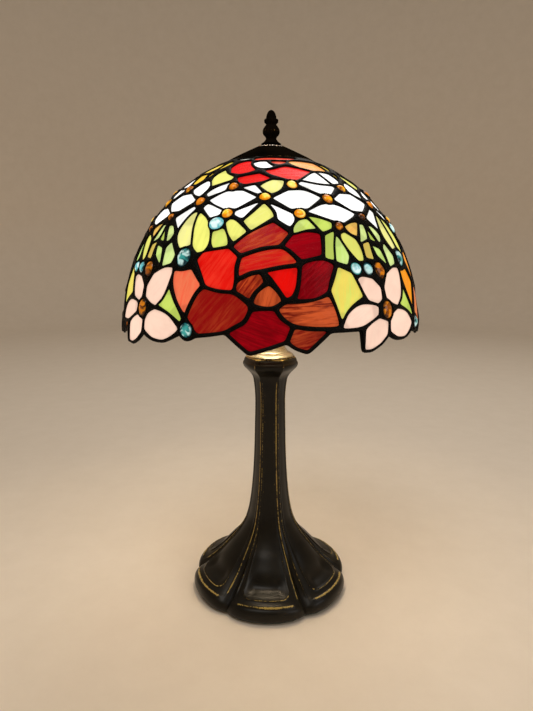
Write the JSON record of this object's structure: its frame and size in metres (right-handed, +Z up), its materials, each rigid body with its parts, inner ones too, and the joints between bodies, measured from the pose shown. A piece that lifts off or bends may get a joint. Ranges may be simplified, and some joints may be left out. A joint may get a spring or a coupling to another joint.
{
  "type": "table lamp",
  "caption": "Table lamp with a leaded glass dome shade of flowers, jewels and leaves, scalloped at the rim, on a slim cast bronze stem with a lobed foot.",
  "frame": {"origin": "on the table under the middle of the lamp, at the underside of the felt", "axes": "+Z up along the stem, -Y the front, +X to the right seen from the front"},
  "size_m": [0.2882, 0.2882, 0.483],
  "materials": {
    "antique_bronze": "dark antique bronze, gold rubbed through on the ridges",
    "brass": "satin brass",
    "steel": "plated steel",
    "felt": "dark felt",
    "rubber": "matte black",
    "phenolic": "moulded phenolic",
    "card": "pressed insulating card",
    "bulb_glass": "frosted, lit",
    "lead_came": "black patina solder",
    "red_glass": "streaky red art glass",
    "pink_glass": "streaky pink art glass",
    "leaf_glass": "streaky yellow-green art glass",
    "white_glass": "opal white art glass",
    "crown_glass": "orange, red and opal art glass",
    "blue_glass": "polished cabochon",
    "amber_glass": "polished cabochon"
  },
  "bodies": {
    "base": {"felt_pad": "felt", "base_casting": "antique_bronze", "cord_grommet": "rubber", "lamp_pipe": "steel", "bottom_washer": "steel", "lock_nut": "steel", "neck_cone": "brass", "harp_saddle": "brass", "harp": "brass", "harp_stud": "brass", "socket_cap": "brass", "socket_shell": "brass", "socket_liner": "card", "socket_body": "phenolic", "screw_shell": "brass", "centre_contact": "brass"},
    "shade": {"rose_glass_1": "red_glass", "blossom_glass_1": "pink_glass", "leaf_glass_1": "leaf_glass", "daisy_glass_1": "white_glass", "crown_glass_1": "crown_glass", "blue_jewel_1": "blue_glass", "blossom_jewel_1": "amber_glass", "rim_came_1": "lead_came", "rose_glass_2": "red_glass", "blossom_glass_2": "pink_glass", "leaf_glass_2": "leaf_glass", "daisy_glass_2": "white_glass", "crown_glass_2": "crown_glass", "blue_jewel_2": "blue_glass", "blossom_jewel_2": "amber_glass", "rim_came_2": "lead_came", "rose_glass_3": "red_glass", "blossom_glass_3": "pink_glass", "leaf_glass_3": "leaf_glass", "daisy_glass_3": "white_glass", "crown_glass_3": "crown_glass", "blue_jewel_3": "blue_glass", "blossom_jewel_3": "amber_glass", "rim_came_3": "lead_came", "rose_glass_4": "red_glass", "blossom_glass_4": "pink_glass", "leaf_glass_4": "leaf_glass", "daisy_glass_4": "white_glass", "crown_glass_4": "crown_glass", "blue_jewel_4": "blue_glass", "blossom_jewel_4": "amber_glass", "rim_came_4": "lead_came", "crown_ring": "brass", "vented_cap": "antique_bronze"},
    "finial_washer": {"finial_washer": "brass"},
    "finial": {"finial": "antique_bronze"},
    "bulb_tip": {"bulb_tip": "phenolic"},
    "bulb": {"bulb_base": "steel", "bulb_glass": "bulb_glass"},
    "sleeve_left": {"harp_sleeve_left": "brass"},
    "sleeve_right": {"harp_sleeve_right": "brass"}
  },
  "joints": [
    {"name": "shade_turn", "type": "hinge", "parent": "base", "child": "shade", "pos_m": [0, 0, 0.448], "axis": [0, 0, 1], "continuous": true},
    {"name": "finial_rise", "type": "slide", "parent": "base", "child": "finial_washer", "axis": [0, 0, 1], "range_m": [0, 0.0087]},
    {"name": "finial_turn", "type": "hinge", "parent": "finial_washer", "child": "finial", "pos_m": [0, 0, 0.452], "axis": [0, 0, 1], "range_deg": [0, 2880]},
    {"name": "bulb_rise", "type": "slide", "parent": "base", "child": "bulb_tip", "axis": [0, 0, 1], "range_m": [0, 0.011]},
    {"name": "bulb_turn", "type": "hinge", "parent": "bulb_tip", "child": "bulb", "pos_m": [0, 0, 0.29], "axis": [0, 0, 1], "range_deg": [0, 1080]},
    {"name": "sleeve_left_lift", "type": "slide", "parent": "base", "child": "sleeve_left", "axis": [0, 0, 1], "range_m": [0, 0.01]},
    {"name": "sleeve_right_lift", "type": "slide", "parent": "base", "child": "sleeve_right", "axis": [0, 0, 1], "range_m": [0, 0.01]}
  ],
  "couplings": [
    {"joint": "finial_rise", "follows": "finial_turn", "m_per_rad": 0.00014961},
    {"joint": "bulb_rise", "follows": "bulb_turn", "m_per_rad": 0.00057757}
  ]
}
